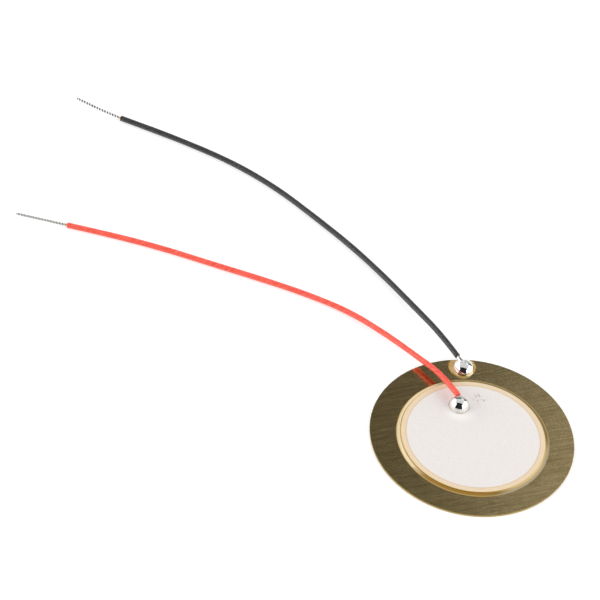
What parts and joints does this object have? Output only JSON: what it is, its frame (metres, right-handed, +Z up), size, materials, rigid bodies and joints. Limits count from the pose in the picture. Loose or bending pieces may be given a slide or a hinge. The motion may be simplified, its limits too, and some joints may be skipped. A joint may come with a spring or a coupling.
{
  "type": "piezo disc",
  "caption": "Thin round brass plate with a glued ceramic disc and silver electrode; soldered red and black insulated leads end in bare twisted strands.",
  "frame": {"origin": "centre of the plate's underside", "axes": "+Z up from the plate through the ceramic, +Y from the centre to the negative joint at the rim"},
  "size_m": [0.0533, 0.0546, 0.0015],
  "materials": {
    "brass": "brushed in one direction",
    "glue": "cured amber glue",
    "silver": "fired silver paste, matte and fine-grained",
    "ceramic": "beige, matte",
    "solder": "bright",
    "flux": "clear amber rosin",
    "red_vinyl": "smooth, half gloss",
    "black_vinyl": "smooth, half gloss",
    "tinned_copper": "twisted tinned strands"
  },
  "bodies": {
    "root": {"brass_plate": "brass", "glue_bond": "glue", "lower_electrode": "silver", "ceramic_disc": "ceramic", "upper_electrode": "silver", "positive_solder": "solder", "negative_solder": "solder", "positive_flux": "flux", "negative_flux": "flux", "red_insulation": "red_vinyl", "red_conductor": "tinned_copper", "black_insulation": "black_vinyl", "black_conductor": "tinned_copper"}
  },
  "joints": []
}
